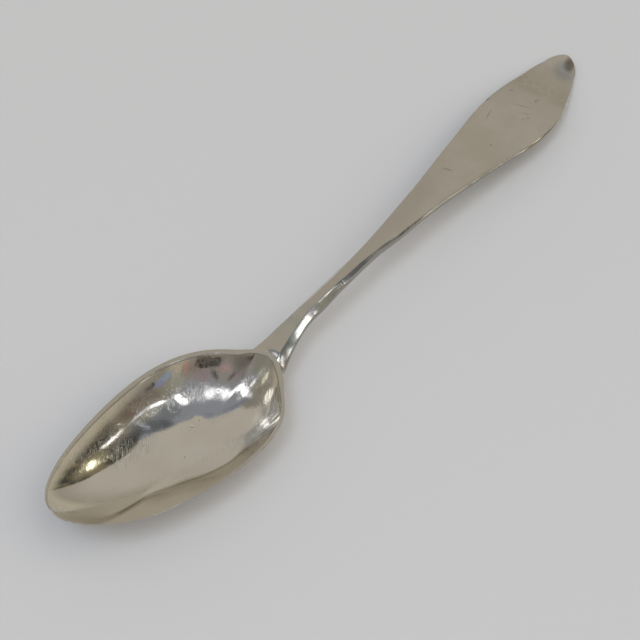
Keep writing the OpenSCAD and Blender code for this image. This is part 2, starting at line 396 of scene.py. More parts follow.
# %% Tables of the handle, from the heel at 0 to the end at 1
SHOULDER = [(0, 1), (0.025, 0.75), (0.05, 0.56), (0.09, 0.25), (0.13, 0.08), (0.18, 0), (1, 0)]
BLADE = [
    (0, 0), (0.18, 0), (0.23, 0.03), (0.28, 0.085), (0.335, 0.195), (0.39, 0.275), (0.46, 0.385),
    (0.52, 0.515), (0.575, 0.64), (0.64, 0.79), (0.70, 0.94), (0.75, 1), (1, 1),
]
END = [
    (0, 1), (0.77, 1), (0.81, 0.965), (0.85, 0.88), (0.89, 0.766), (0.93, 0.648), (0.965, 0.495),
    (1, 0.36),
]
WANDER = [
    (0, 0.115), (0.05, 0.16), (0.09, 0.158), (0.13, 0.097), (0.18, 0.042), (0.24, -0.005),
    (0.29, -0.035), (0.345, -0.065), (0.40, -0.053), (0.50, -0.025), (0.60, -0.005),
    (0.70, -0.005), (0.77, 0.025), (0.83, 0.09), (0.87, 0.17), (0.90, 0.24), (0.94, 0.33),
    (0.975, 0.385), (1, 0.42),
]
CLIMB = [
    (0, 0), (0.02, 0.06), (0.05, 0.22), (0.09, 0.50), (0.13, 0.76), (0.18, 0.95), (0.24, 1),
    (1, 1),
]
FALL = [
    (0, 1), (0.24, 1), (0.36, 0.93), (0.575, 0.68), (0.735, 0.46), (0.84, 0.275), (0.90, 0.122),
    (0.94, 0.045), (0.975, 0), (1, 0),
]
THICK = [
    (0, 1), (0.26, 1), (0.33, 0.84), (0.4, 0.60), (0.48, 0.42), (0.58, 0.28), (0.7, 0.10),
    (0.8, 0.02), (0.88, 0), (1, 0),
]
FLARE = [
    (0, 0), (0.06, 0.25), (0.11, 0.75), (0.15, 1), (0.19, 1), (0.24, 0.65), (0.30, 0.22),
    (0.36, 0.02), (0.42, 0), (1, 0),
]
BACK = [
    (0, 0), (0.06, 0.05), (0.12, 0.14), (0.24, 0.38), (0.37, 0.56), (0.5, 0.69), (0.62, 0.81),
    (0.75, 0.93), (0.87, 0.985), (1, 1),
]
DROP = [(0, 0.16), (0.06, 0.48), (0.15, 0.72), (0.3, 0.90), (0.5, 0.98), (0.7, 1), (1, 1)]
FOOT_SHARE = 0.6
UNDERSIDE_SHARE = 0.62
END_KEEN = 0.985
LIP_SWEEP = 1.8
print("widest place of the blade:", BLADE[-2][0], "of the way along the handle")

# %% [markdown]
# Each function here turns the tables into a length at a place x along the spoon. Before the heel
# the handle is the lap under the bowl, and after it the stem and the blade.

# %% Width, height and thickness at x
def along(x):
    """Share of the handle's length at x, from the heel at 0 to the end at 1."""
    return np.maximum(0, (x - heel_x) / handle_l)


def middle_y(x):
    """Middle of the handle at x, which wanders a little, as a worn handle does."""
    return -aside_share * bowl_half + through(WANDER, along(x)) * blade_half


def end_rounding(x):
    """Share of the width that the rounded end leaves."""
    return np.sqrt(1 - (END_KEEN * np.maximum(0, 1 - (end_x - x) / end_round_l)) ** 2)


def half_top(x):
    """Half the width of the handle's top."""
    u = along(x)
    stem = stem_half + through(SHOULDER, u) * (shoulder_half - stem_half)
    blade = through(BLADE, u) * (blade_half - stem_half)
    spread = shoulder_half + (heel_x - x) ** 2 / (2 * shoulder_r)
    return np.where(x < heel_x, spread, (stem + blade) * through(END, u) * end_rounding(x))


def half_foot(x):
    """Half the width of the handle's underside, where the stem flares and the drop laps."""
    lap = drop_half * through(DROP, (x - drop_x) / drop_l)
    foot = np.minimum(drop_half, half_top(x) + stem_flare * through(FLARE, along(x)))
    return np.where(x < heel_x, lap, foot)


def top_z(x):
    """Height of the handle's top above the table."""
    u = along(x)
    climb = heel_h + (arch_h - heel_h) * through(CLIMB, u)
    lip = lip_h * np.maximum(0, 1 - (end_x - x) / lip_l) ** LIP_SWEEP
    fall = blade_t + (arch_h - blade_t) * through(FALL, u) + lip
    return np.where(x < heel_x, rim_z(x), np.where(u < arch_share, climb, fall))


arch_x = heel_x + arch_share * handle_l
drop_end_z = heel_h * float(side_rise((drop_x - deepest[0]) / (heel_x - deepest[0])))
drop_end_z -= foot_depth + drop_t


def back_z(x):
    """Height of the handle's back above the table."""
    neck = through(BACK, (x - drop_x) / (arch_x - drop_x))
    under = drop_end_z + (arch_h - stem_t - drop_end_z) * neck
    blade = top_z(x) - blade_t - (stem_t - blade_t) * through(THICK, along(x))
    return np.where(x < arch_x, under, blade)


print("top and back at the arch:", millimetres(top_z(arch_x), back_z(arch_x)))

# %% [markdown]
# The corner between the neck and the bowl is filled with solder and filed to a smooth hollow, so
# the neck's surface starts at the bowl's inner edge and takes the flat rim in. Both the rim and
# the handle's top get the same lift here, and meet without a step.

# %% Hollow of the neck
NECK_REACH = 0.12
NECK_FADE = [(0, 1), (0.03, 0.85), (0.08, 0.3), (NECK_REACH, 0), (1, 0)]


def neck_lift(x, y):
    """Lift of the neck's surface over the height of the rim."""
    away = np.hypot(inner_edge[:, 0] - x, inner_edge[:, 1] - y)
    nearest = inner_edge[away.argmin()]
    if math.hypot(x - deepest[0], y - deepest[1]) <= math.hypot(*(nearest - deepest)):
        return 0.0
    t = min(1, away.min() / neck_fillet_l)
    aside = min(1, abs(y + neck_aside - float(middle_y(heel_x))) / neck_half)
    side = (1 - aside**2) ** 2
    return neck_fillet_h * t * t * (3 - 2 * t) * side * float(through(NECK_FADE, along(x)))


lifts = []
for point in bowl.data.vertices[rim_start:rim_end]:
    lift = neck_lift(point.co.x, point.co.y) if point.co.x > heel_x - shoulder_l else 0.0
    point.co.z += lift
    lifts.append(lift)
print("highest lift of the rim at the neck:", millimetres(max(lifts)))

# %% [markdown]
# The sides of the stem are filed flat. On the worn side that facet is broad and leans back more
# and more towards the bowl, until it catches a window at the foot of the stem. Along the blade it
# shrinks to a narrow bevel, which shows as one bright line.
#
# `BEVEL` and `FACET` are the two profiles, as shares of the way out and the way down, and the
# other tables give the facet's size along the handle.

# %% Bevel of the edge and facet of the stem
BEVEL = [
    (0, 0), (0.20, 0.03), (0.40, 0.14), (0.55, 0.29), (0.70, 0.44), (0.86, 0.60), (0.96, 0.80),
    (1, 1),
]
FACET = [
    (0, 0), (0.07, 0.02), (0.15, 0.08), (0.40, 0.34), (0.65, 0.60), (0.88, 0.84), (0.96, 0.93),
    (1, 1),
]
FACET_OUT = [
    (0, 1.9), (0.025, 1.9), (0.05, 1.75), (0.07, 1.55), (0.09, 1.4), (0.115, 1.25), (0.14, 1.12),
    (0.18, 0.98), (0.24, 0.78), (0.30, 0.56), (0.36, 0.42), (0.42, 0.32), (1, 0.32),
]
FACET_STEEP = [
    (0, 0.8), (0.03, 0.66), (0.05, 0.60), (0.08, 0.56), (0.105, 0.62), (0.125, 0.82),
    (0.155, 0.85), (0.18, 0.72), (0.20, 0.60), (0.30, 0.60), (0.36, 0.75), (0.42, 0.95),
    (1, 0.95),
]
FACET_SHARE = [(0, 1), (0.68, 1), (0.80, 0), (1, 0)]
FACET_UNDER = [(0, 0.62), (0.08, 0.80), (0.32, 0.80), (0.5, 0.62), (1, 0.62)]
print("the facet is widest by the bowl:", millimetres(FACET_OUT[0][1] * MM))

# %% [markdown]
# A section goes round the metal once: over the flat top, down the left edge, along the rounded
# underside and up the worn side's facet. An edge never takes more than a share of the width or
# of the thickness, so that it still fits where the metal is thin.

# %% One section of the handle
TOP_STEPS, UNDER_STEPS = 16, 34
BEVEL_OF_WIDTH, BEVEL_OF_DEPTH = 0.5, 0.45
FACET_OF_WIDTH, FACET_OF_DEPTH, FACET_DOWN_OF_DEPTH = 0.6, 0.9, 0.55


def under_point(turn, share):
    """Point on the rounded underside, as shares of the half width and the depth."""
    out = math.copysign(abs(math.cos(turn)) ** share, math.cos(turn))
    return out, math.sin(turn) ** share


def section(x):
    """Ring of the handle at x: its top, one edge, the underside and the worn side's facet."""
    a, b, y, top = (float(v) for v in (half_top(x), half_foot(x), middle_y(x), top_z(x)))
    if x < heel_x - shoulder_l:
        a = b
    deep = top - float(back_z(x))
    b = max(a, b) if x >= heel_x else b
    e = min(edge_bevel, BEVEL_OF_DEPTH * deep, BEVEL_OF_WIDTH * a)
    u = along(x)
    worn = max(a, b) if x >= heel_x else a
    facet_out = float(through(FACET_OUT, u)) * MM
    facet_out = min(facet_out, FACET_OF_WIDTH * worn, FACET_OF_DEPTH * deep)
    facet_deep = min(facet_out * float(through(FACET_STEEP, u)), FACET_DOWN_OF_DEPTH * deep)
    profile = np.array(BEVEL) + float(through(FACET_SHARE, u)) * (np.array(FACET) - BEVEL)
    left, right = y + a - e, y - worn + facet_out
    points = [(right + (left - right) * k / TOP_STEPS, top) for k in range(TOP_STEPS + 1)]
    points += [(left + e * out, top - e * down) for out, down in profile[1:]]
    for k in range(1, UNDER_STEPS):
        turn = math.pi * k / UNDER_STEPS
        if turn < math.pi / 2:
            half, start, share = a, e, UNDERSIDE_SHARE
        else:
            half, start, share = worn, facet_deep, float(through(FACET_UNDER, u))
        out, down = under_point(turn, share)
        widen = math.sin(math.pi / 2 * min(1, down / FOOT_SHARE))
        side = y + out * (half + (b - half) * widen)
        points.append((side, top - start - (deep - start) * down))
    points += [(right - facet_out * out, top - facet_deep * down) for out, down in profile[:0:-1]]
    lifted = []
    for side, z in points:
        share = (z - top + deep) / deep
        lifted.append((x, side, z + (share * neck_lift(x, side) if u < NECK_REACH else 0)))
    return np.array(lifted)


print("points in a section:", len(section(arch_x)))

# %% [markdown]
# The sections are evenly spread along the neck and crowd towards the blunt end, where the width
# changes fastest.

# %% Build the handle
NECK_SECTIONS, BLADE_SECTIONS = 110, 150
SECTION_CROWDING = 1.8
neck_x = np.linspace(drop_x, arch_x, NECK_SECTIONS + 1)
left_over = 1 - np.linspace(0, 1, BLADE_SECTIONS + 1)[1:]
blade_x = end_x - (end_x - arch_x) * left_over**SECTION_CROWDING
sections = [section(x) for x in np.concatenate([neck_x, blade_x])]
ends = [np.mean(sections[0], 0), np.mean(sections[-1], 0)]
handle = skin("handle_silver", sections, *ends)
print("handle faces before fitting:", len(handle.data.polygons))

# %% [markdown]
# The handle's front end now runs straight through the bowl. A smith files it to the curve of the
# bowl's back, and a boolean modifier does the same here, with a body that fills the bowl and
# rises above it. That body is a hair smaller than the bowl, so the two pieces touch with no slit
# of light between them.

# %% Fit the handle under the bowl
fit_depth = 0.03 * MM
tool_edge = inset(outline, fit_depth)
tool_rings = [bowl_ring(tool_edge, fit_depth - foot_depth, outer_round, s) for s in out_shares]
tool_rings.append(np.column_stack([tool_edge, rim_z(outline[:, 0]) + stem_t]))
tool_bottom, tool_top = [*deepest, fit_depth - foot_depth], [*deepest, tip_h + stem_t]
tool = skin("fitting_tool", tool_rings, tool_bottom, tool_top)
cut = handle.modifiers.new("fit", "BOOLEAN")
cut.operation = "DIFFERENCE"
cut.solver = "EXACT"
cut.object = tool
evaluated = handle.evaluated_get(bpy.context.evaluated_depsgraph_get())
fitted = bpy.data.meshes.new_from_object(evaluated)
handle.modifiers.clear()
handle.data = fitted
bpy.data.objects.remove(tool)
fitted.shade_smooth()
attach(handle, "root")
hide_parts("handle")
print("handle faces:", len(fitted.polygons))

# %% [markdown]
# ## Worn silver
#
# Old silver isn't one colour. It's bright where it is rubbed, a little yellow where it has
# tarnished, and the light that it throws back is blurred by thousands of hairline scratches.
# A painted image could hold all that, but it would fix one level of detail. Nodes make it at
# every scale: stretched noise gives hairlines, a cell texture gives pits, and slow noise moves
# both colour and polish from place to place.

# %% Node helpers
def node(tree, kind, at=None, **settings):
    """Adds a node. Settings name its properties; `at` maps its sockets to values or to sockets."""
    made = tree.nodes.new(kind)
    for key, value in settings.items():
        setattr(made, key, value)
    for socket, value in (at or {}).items():
        if isinstance(value, bpy.types.NodeSocket):
            tree.links.new(value, made.inputs[socket])
        else:
            made.inputs[socket].default_value = value
    return made


def math_node(tree, operation, a, b=0.0):
    """One sum, product or comparison of two values or sockets."""
    return node(tree, "ShaderNodeMath", {0: a, 1: b}, operation=operation).outputs[0]


def vector_math(tree, operation, a, b=(0, 0, 0), result="Vector"):
    """The same for vectors. LENGTH gives its number in the output called Value."""
    return node(tree, "ShaderNodeVectorMath", {0: a, 1: b}, operation=operation).outputs[result]


def noise_node(tree, place, scale, detail):
    """Soft noise over a place, about 0 to 1."""
    at = {"Vector": place, "Scale": scale, "Detail": detail}
    return node(tree, "ShaderNodeTexNoise", at).outputs[0]


def axes(tree, vector):
    """The x, y and z of a vector."""
    return node(tree, "ShaderNodeSeparateXYZ", {0: vector}).outputs


def ramp(tree, value, low, high, to_low=0.0, to_high=1.0):
    """Smooth step of a value between two limits."""
    at = {"Value": value, "From Min": low, "From Max": high, "To Min": to_low, "To Max": to_high}
    return node(tree, "ShaderNodeMapRange", at, interpolation_type="SMOOTHSTEP").outputs[0]


def oval(tree, place, at, size, turn):
    """A place seen from an oval's middle, turned with it, and 1 long at its edge."""
    return node(
        tree, "ShaderNodeMapping",
        {0: place, 1: (*at, 0), 2: (0, 0, math.radians(turn)), 3: (*size, 1)},
        vector_type="TEXTURE",
    ).outputs[0]


def mixed(tree, mask, under, over):
    """Colour that goes from one to another with a mask."""
    mix = node(tree, "ShaderNodeMix", {"Factor": mask}, data_type="RGBA")
    for socket, value in ((mix.inputs[6], under), (mix.inputs[7], over)):
        if isinstance(value, bpy.types.NodeSocket):
            tree.links.new(value, socket)
        else:
            socket.default_value = (*value, 1)
    return mix.outputs[2]


# %% [markdown]
# A hairline is where stretched noise passes through its middle value, and a second, broad noise
# keeps only a share of the lines. A pit is the middle of a cell, in a share of the cells.

# %% Hairlines, pits and spots
LINE_KEEN = 0.035
LINE_DEEP = 0.25
PATCH_SPREAD = 0.45
PATCH_SOFT = 0.08


def hairlines(tree, place, degrees, length, width, share):
    """Thin lines along one direction, broken up so that only a share of them is left."""
    turn = {"Vector": place, "Axis": (0, 0, 1), "Angle": math.radians(-degrees)}
    turned = node(tree, "ShaderNodeVectorRotate", turn).outputs[0]
    stretch = (1 / length, 1 / width, LINE_DEEP / width)
    field = noise_node(tree, vector_math(tree, "MULTIPLY", turned, stretch), 1.0, 1.0)
    off = math_node(tree, "ABSOLUTE", math_node(tree, "SUBTRACT", field, 0.5))
    line = ramp(tree, off, 0.0, LINE_KEEN, 1.0, 0.0)
    patches = noise_node(tree, turned, PATCH_SPREAD / length, 2.0)
    kept = ramp(tree, patches, 1 - share - PATCH_SOFT, 1 - share + PATCH_SOFT)
    return math_node(tree, "MULTIPLY", line, kept)


def pits(tree, place, spacing, size, share):
    """Small round pits, in a share of the cells of a cell texture."""
    at = {"Vector": place, "Scale": 1 / spacing, "Randomness": 1.0}
    cells = node(tree, "ShaderNodeTexVoronoi", at)
    near = ramp(tree, cells.outputs["Distance"], 0.3 * size / spacing, size / spacing, 1.0, 0.0)
    chance = node(tree, "ShaderNodeSeparateColor", {0: cells.outputs["Color"]}).outputs[0]
    return math_node(tree, "MULTIPLY", near, math_node(tree, "LESS_THAN", chance, share))


def spot_mask(tree, place, at, size, turn, inner, outer):
    """Mask of one oval place on the spoon, in millimetres seen from above."""
    spot = oval(tree, place, [v * MM for v in at], [v * MM for v in size], turn)
    flat = vector_math(tree, "MULTIPLY", spot, (1, 1, 0))
    return ramp(tree, vector_math(tree, "LENGTH", flat, result="Value"), inner, outer, 1.0, 0.0)


print("a hairline shows where its noise is within", LINE_KEEN, "of the middle")

# %% [markdown]
# One function makes both finishes, because the metal is the same and only the wear and the painted
# marks differ. It builds three things side by side: a colour, a roughness and a height for the
# bump. Stains and painted reflections change the colour, dents the height, and scuffs the
# roughness. Sides that face sideways or a little down are painted darker, partly tarnish where
# cloths miss them and partly painted shade. The rim's top gets a warmer, darker colour, a painted
# reflection, and the rim is a little rougher than the inside.

# %% The silver
SILVER = (0.80, 0.775, 0.72)
RIM_REFLECTION_TINT = (0.64, 0.615, 0.545)
SIDE_TARNISH_AND_SHADE = (0.22, 0.20, 0.16)
DIRT = (0.16, 0.13, 0.10)
CLOUD_SCALE, GRAIN_SCALE = 90.0, 2600.0
CLOUD_FROM, CLOUD_TO = 0.38, 0.66
LINE_LENGTH, LINE_WIDTH = 4 * MM, 0.14 * MM
PIT_SPACING, PIT_SIZE, PIT_SHARE = 1.9 * MM, 0.13 * MM, 0.20
LINE_HEIGHT, PIT_HEIGHT = -3.6, -8.0
PIT_DIRT, DENT_DIRT = 0.7, 0.4
LINE_ROUGH, RIM_ROUGH = 0.07, 0.05
STEEP_TARNISH_AND_SHADE = 0.7
BUMP_UNIT = 0.0016 * MM


def old_silver(
    name, bright, tarnished, polish, haze, scratch_angles, grain,
    stains_and_reflections=(), dents=(), scuffs=(), extra=None,
):
    """Old silver with painted side shade, from two colours, polish, haze, wear and painted
    reflections.
    """
    material = bpy.data.materials.new(name)
    material.use_nodes = True
    tree = material.node_tree
    shader = tree.nodes["Principled BSDF"]
    place = node(tree, "ShaderNodeTexCoord").outputs["Object"]

    cloud = ramp(tree, noise_node(tree, place, CLOUD_SCALE, 4.0), CLOUD_FROM, CLOUD_TO)
    fine = noise_node(tree, place, GRAIN_SCALE, 3.0)
    lines = 0.0
    for k, angle in enumerate(scratch_angles):
        length, width = LINE_LENGTH + 2 * k * MM, LINE_WIDTH + 0.05 * k * MM
        one = hairlines(tree, place, angle, length, width, 0.46 - 0.05 * k)
        lines = math_node(tree, "MAXIMUM", one, lines)
    dots = pits(tree, place, PIT_SPACING, PIT_SIZE, PIT_SHARE)

    colour = mixed(tree, cloud, bright, tarnished)
    # Listed patches tint the colour; the two at the end of the blade are a painted reflection.
    for at, size, turn, tint in stains_and_reflections:
        uneven = ramp(tree, fine, 0.2, 0.8, 0.75, 1.0)
        stain_and_reflection = spot_mask(tree, place, at, size, turn, 0.35, 1.1)
        colour = mixed(tree, math_node(tree, "MULTIPLY", stain_and_reflection, uneven), colour, tint)
    dirt = math_node(tree, "MULTIPLY", dots, PIT_DIRT)
    cuts = math_node(tree, "MULTIPLY", lines, LINE_HEIGHT)
    depth = math_node(tree, "ADD", cuts, math_node(tree, "MULTIPLY", dots, PIT_HEIGHT))
    depth = math_node(tree, "ADD", depth, math_node(tree, "MULTIPLY", fine, grain))
    for at, size, turn, deep in dents:
        hollow = spot_mask(tree, place, at, size, turn, 0.0, 1.0)
        dirt = math_node(tree, "MAXIMUM", dirt, math_node(tree, "MULTIPLY", hollow, DENT_DIRT))
        depth = math_node(tree, "ADD", depth, math_node(tree, "MULTIPLY", hollow, -deep))
    colour = mixed(tree, dirt, colour, DIRT)
    # Painted shade, partly tarnish: sides that face sideways or a little down are darkened.
    facing_up = axes(tree, node(tree, "ShaderNodeNewGeometry").outputs["Normal"])[2]
    steep_tarnish_and_shade = ramp(tree, facing_up, 0.10, 0.50, STEEP_TARNISH_AND_SHADE, 0.0)
    steep_tarnish_and_shade = math_node(tree, "MULTIPLY", steep_tarnish_and_shade, ramp(tree, facing_up, -0.6, -0.2))
    colour = mixed(tree, steep_tarnish_and_shade, colour, SIDE_TARNISH_AND_SHADE)
    # Painted reflection: the top of the rim gets a warmer, darker colour than the inside.
    rim = node(tree, "ShaderNodeAttribute", attribute_name="rim").outputs["Fac"]
    rim_top_reflection = math_node(tree, "MULTIPLY", rim, ramp(tree, facing_up, 0.5, 0.8))
    colour = mixed(tree, rim_top_reflection, colour, RIM_REFLECTION_TINT)
    tree.links.new(colour, shader.inputs["Base Color"])

    rough = math_node(tree, "ADD", polish, math_node(tree, "MULTIPLY", cloud, haze))
    rough = math_node(tree, "ADD", rough, math_node(tree, "MULTIPLY", lines, LINE_ROUGH))
    rough = math_node(tree, "ADD", rough, math_node(tree, "MULTIPLY", rim, RIM_ROUGH))
    for at, size, turn, dull in scuffs:
        scuff = spot_mask(tree, place, at, size, turn, 0.3, 1.1)
        rough = math_node(tree, "ADD", rough, math_node(tree, "MULTIPLY", scuff, dull))
    tree.links.new(rough, shader.inputs["Roughness"])
    shader.inputs["Metallic"].default_value = 1.0

    if extra:
        depth = math_node(tree, "ADD", depth, extra(tree, place))
    bump = node(tree, "ShaderNodeBump", {"Height": depth, "Strength": 1.0, "Distance": BUMP_UNIT})
    tree.links.new(bump.outputs[0], shader.inputs["Normal"])
    return material


print("a pit is", millimetres(-PIT_HEIGHT * BUMP_UNIT), "deep")

# %% [markdown]
# The stem's broad facet still shows the file: fine marks across it, which sparkle. They are
# noise that changes five times faster along the stem than across it, and a mask keeps them below
# the top's worn edge. That edge is almost a straight line seen from above, so one line through
# the sections is enough.

# %% File marks
MARKED = (-15 * MM, 14 * MM)
MARK_FADE = 6 * MM
MARK_PITCH = (3600, 700, 700)
MARK_HEIGHT = 9.0
marked_x = np.linspace(*MARKED, 12)
marked_edge = [float(middle_y(x) - half_top(x)) for x in marked_x]
edge_slope, edge_y = np.polyfit(marked_x, marked_edge, 1)
print("worn edge of the stem: slope", round(edge_slope, 3), "offset", millimetres(edge_y))


def file_marks(tree, place):
    """Height of the marks that a file left across the stem's facet."""
    x, y, _ = axes(tree, place)
    edge = math_node(tree, "ADD", math_node(tree, "MULTIPLY", x, edge_slope), edge_y)
    below = ramp(tree, math_node(tree, "SUBTRACT", edge, y), -0.10 * MM, 0.12 * MM)
    begun = ramp(tree, x, MARKED[0], MARKED[0] + MARK_FADE)
    ended = ramp(tree, x, MARKED[1] - MARK_FADE, MARKED[1], 1.0, 0.0)
    where = math_node(tree, "MULTIPLY", below, math_node(tree, "MULTIPLY", begun, ended))
    marks = noise_node(tree, vector_math(tree, "MULTIPLY", place, MARK_PITCH), 1.0, 2.0)
    return math_node(tree, "MULTIPLY", math_node(tree, "MULTIPLY", marks, MARK_HEIGHT), where)


# %% [markdown]
# The stains, dents and scuffs that can be made out one by one are put down one by one. Each row
# gives the middle and the half sizes in millimetres, a turn in degrees, and then a colour, a
# dent's depth in bump units or what a scuff adds to the roughness. The grey patch and the dark
# spot at the end of the blade are a painted reflection, laid on as colour. The three broad
# colours after them make the neck, the stem and the arch a little darker and greener.

# %% Stains, dents and scuffs
HANDLE_STAINS_AND_REFLECTIONS = [
    # Painted reflection: a grey patch and a dark spot at the end of the blade.
    ((66.0, -0.9), (3.9, 2.7), 46, (0.46, 0.48, 0.49)),
    ((68.3, -0.7), (2.3, 1.4), 30, (0.22, 0.20, 0.18)),
    # A darker, greener tone on the neck, the stem and the arch.
    ((-20, -2), (5.5, 5), 0, (0.60, 0.60, 0.53)),
    ((-4, -2.2), (16, 4), 0, (0.60, 0.57, 0.51)),
    ((14, 0), (11, 5), 0, (0.585, 0.55, 0.49)),
]
HANDLE_DENTS = [
    ((50.6, -1.3), (2.2, 0.28), -73, 50),
    ((49.0, -3.0), (1.7, 0.24), -66, 50),
    ((53.3, 3.3), (0.7, 0.4), -20, 50),
    ((53.8, -2.3), (0.9, 0.2), 25, 45),
    ((54.3, -2.6), (0.7, 0.18), 100, 45),
    ((48.3, -4.2), (0.5, 0.3), 0, 50),
    ((47.4, -3.6), (0.4, 0.25), 0, 45),
    ((26.2, -1.1), (1.5, 0.3), -70, 36),
    ((47.7, 5.0), (0.9, 0.3), 5, 45),
    ((37, -3.4), (0.5, 0.25), 0, 30),
    ((44, 2.2), (2.4, 0.16), 15, 22),
]
BOWL_DENTS = [((-41.5, 2.6), (0.35, 0.3), 0, 50), ((-46.6, -0.4), (0.4, 0.15), 40, 30)]
BOWL_SCUFFS = [((-28.5, 1.8), (3.2, 1.8), -50, 0.22), ((-37, 3.5), (6, 1.2), -50, 0.06)]
print("deepest dent:", millimetres(max(row[-1] for row in HANDLE_DENTS) * BUMP_UNIT))

# %% The two finishes
bowl_finish = old_silver(
    "bright_silver", bright=SILVER, tarnished=(0.77, 0.735, 0.665), polish=0.022, haze=0.022,
    scratch_angles=(38, 52, 75, -20), grain=3.2, dents=BOWL_DENTS, scuffs=BOWL_SCUFFS,
)
handle_finish = old_silver(
    "rubbed_silver", bright=(0.68, 0.65, 0.59), tarnished=(0.63, 0.60, 0.53), polish=0.10,
    haze=0.08, scratch_angles=(35, 50, -12), grain=3.2, stains_and_reflections=HANDLE_STAINS_AND_REFLECTIONS,
    dents=HANDLE_DENTS, extra=file_marks,
)
for piece, finish in ((bowl, bowl_finish), (handle, handle_finish)):
    piece.data.materials.clear()
    piece.data.materials.append(finish)
print("finishes:", bowl_finish.name, handle_finish.name)

# %% [markdown]
# ## The table
#
# The spoon lies on a pale, even sheet. It is a real floor here, and a plain one, because the
# spoon's underside and the edges of its stem mirror it and its shadow lies on it.

# %% Floor
FLOOR_REACH = 3.0
PALE_SHEET = (0.532, 0.526, 0.529, 1)
corners = [(-1, -1), (1, -1), (1, 1), (-1, 1)]
floor_mesh = bpy.data.meshes.new("floor")
floor_mesh.from_pydata(
    [(FLOOR_REACH * x, FLOOR_REACH * y, 0) for x, y in corners], [], [(0, 1, 2, 3)]
)
floor = bpy.data.objects.new("floor", floor_mesh)
bpy.context.scene.collection.objects.link(floor)
paper = bpy.data.materials.new("pale_sheet")
paper.use_nodes = True
sheet = paper.node_tree.nodes["Principled BSDF"].inputs
sheet["Base Color"].default_value = PALE_SHEET
sheet["Roughness"].default_value = 0.8
sheet["Specular IOR Level"].default_value = 0.2
floor_mesh.materials.append(paper)
print("floor reaches", FLOOR_REACH, "m each way")

# %% [markdown]
# ## The room in the silver
#
# A mirror shows what stands round it. A photographer would put cards and lamps round the spoon,
# and so could we, but a spoon is so small beside a room that only the direction of each card
# matters. So the room is painted in the world instead, on a chart like a map of the sky: the
# zenith is at (0, 0), each unit is a degree away from it, x and y point as they do on the table,
# and the horizon is the circle at 90.
#
# `patch` lays one soft patch on the chart, a disc or a square, stretched and turned. Its tone is
# the one that bright silver shows, from 0 to 255, so the silver's own colour is taken out first.

# %% The chart of the room
world = bpy.data.worlds.new("room")
bpy.context.scene.world = world
world.use_nodes = True
room = world.node_tree
room.nodes.clear()
towards = node(room, "ShaderNodeTexCoord").outputs["Generated"]
rise = math_node(room, "ARCCOSINE", axes(room, towards)[2])
from_zenith = math_node(room, "MULTIPLY", rise, math.degrees(1))
heading = vector_math(room, "NORMALIZE", vector_math(room, "MULTIPLY", towards, (1, 1, 0)))
spread = {0: heading, "Scale": from_zenith}
chart = node(room, "ShaderNodeVectorMath", spread, operation="SCALE").outputs[0]
print("nodes of the chart:", len(room.nodes))


# %% Patches on the chart
def tone(red, green, blue):
    """Room colour that shows as this tone in the silver."""
    linear = [((v / 255 + 0.055) / 1.055) ** 2.4 for v in (red, green, blue)]
    return tuple(v / s for v, s in zip(linear, SILVER))


def patch_mask(at, size, turn, soft, square=False):
    """Mask of a patch of the given half sizes in the chart, with an edge as soft as given."""
    spot = oval(room, chart, at, size, turn)
    if square:
        sides = axes(room, vector_math(room, "ABSOLUTE", spot))
        away = math_node(room, "MAXIMUM", sides[0], sides[1])
    else:
        away = vector_math(room, "LENGTH", spot, result="Value")
    half = soft / min(size) / 2
    return ramp(room, away, 1 - half, 1 + half, 1.0, 0.0)


def patch(under, at, size, turn, soft, colour, level=1.0, square=False):
    """Lays a patch over the room."""
    lit = tuple(level * v for v in tone(*colour))
    return mixed(room, patch_mask(at, size, turn, soft, square), under, lit)


print("white in the silver is", [round(v, 2) for v in tone(255, 255, 255)], "in the room")

# %% [markdown]
# The walls come first: cool grey overhead and at the left, and a wide warm screen at the right,
# whose lower corner is cut off. A dark, mottled wall closes the lower right. Then come the
# things: a black box and its stand, some coloured clutter, and the lamps and windows on top.

# %% Walls
overhead = tone(127, 128, 132)
walls = mixed(room, ramp(room, from_zenith, 44, 54), overhead, tone(124, 119, 106))
walls = patch(walls, (-48, 20), (40, 12), 90, 6, (122, 119, 108))
walls = patch(walls, (-37, 38), (14, 5), 70, 4, (134, 132, 115))
walls = patch(walls, (-40, -20), (14, 10), 60, 6, (128, 124, 118))
walls = patch(walls, (50, 64), (61, 62), 9.5, 1.2, (165, 158, 146), square=True)
walls = patch(walls, (63, -11), (55, 40), -47, 1.2, (165, 158, 145), square=True)
low_right = ramp(room, axes(room, chart)[0], 20, 40)
low_right = math_node(room, "MULTIPLY", ramp(room, from_zenith, 58, 80), low_right)
walls = mixed(room, low_right, walls, tone(141, 134, 119))
walls = patch(walls, (-10, 30), (26, 2.2), 99.5, 2.5, (113, 115, 121))
walls = patch(walls, (13, -36), (10, 9), -60, 6, (106, 109, 110))
walls = patch(walls, (24, -36), (17, 3.5), -66, 3, (80, 82, 84))
walls = patch(walls, (24, -64), (13, 8), -10, 6, (104, 92, 80))
walls = patch(walls, (10, 78), (27, 4.5), 8, 3, (118, 118, 115))
print("nodes after the walls:", len(room.nodes))

# %% Dark mottled wall
mottle = ramp(room, noise_node(room, chart, 0.11, 5.0), 0.38, 0.66)
brown = mixed(room, mottle, tone(60, 58, 52), tone(114, 104, 82))
walls = mixed(room, patch_mask((67, -55), (30.5, 27.6), 12, 1.96, square=True), walls, brown)
walls = patch(walls, (36, -42), (8, 6), -70, 4, (58, 57, 55))
walls = patch(walls, (51, -44), (11, 6), 55, 6, (136, 126, 96))
walls = mixed(room, ramp(room, from_zenith, 77, 84), walls, tone(164, 156, 136))
print("nodes after the dark wall:", len(room.nodes))

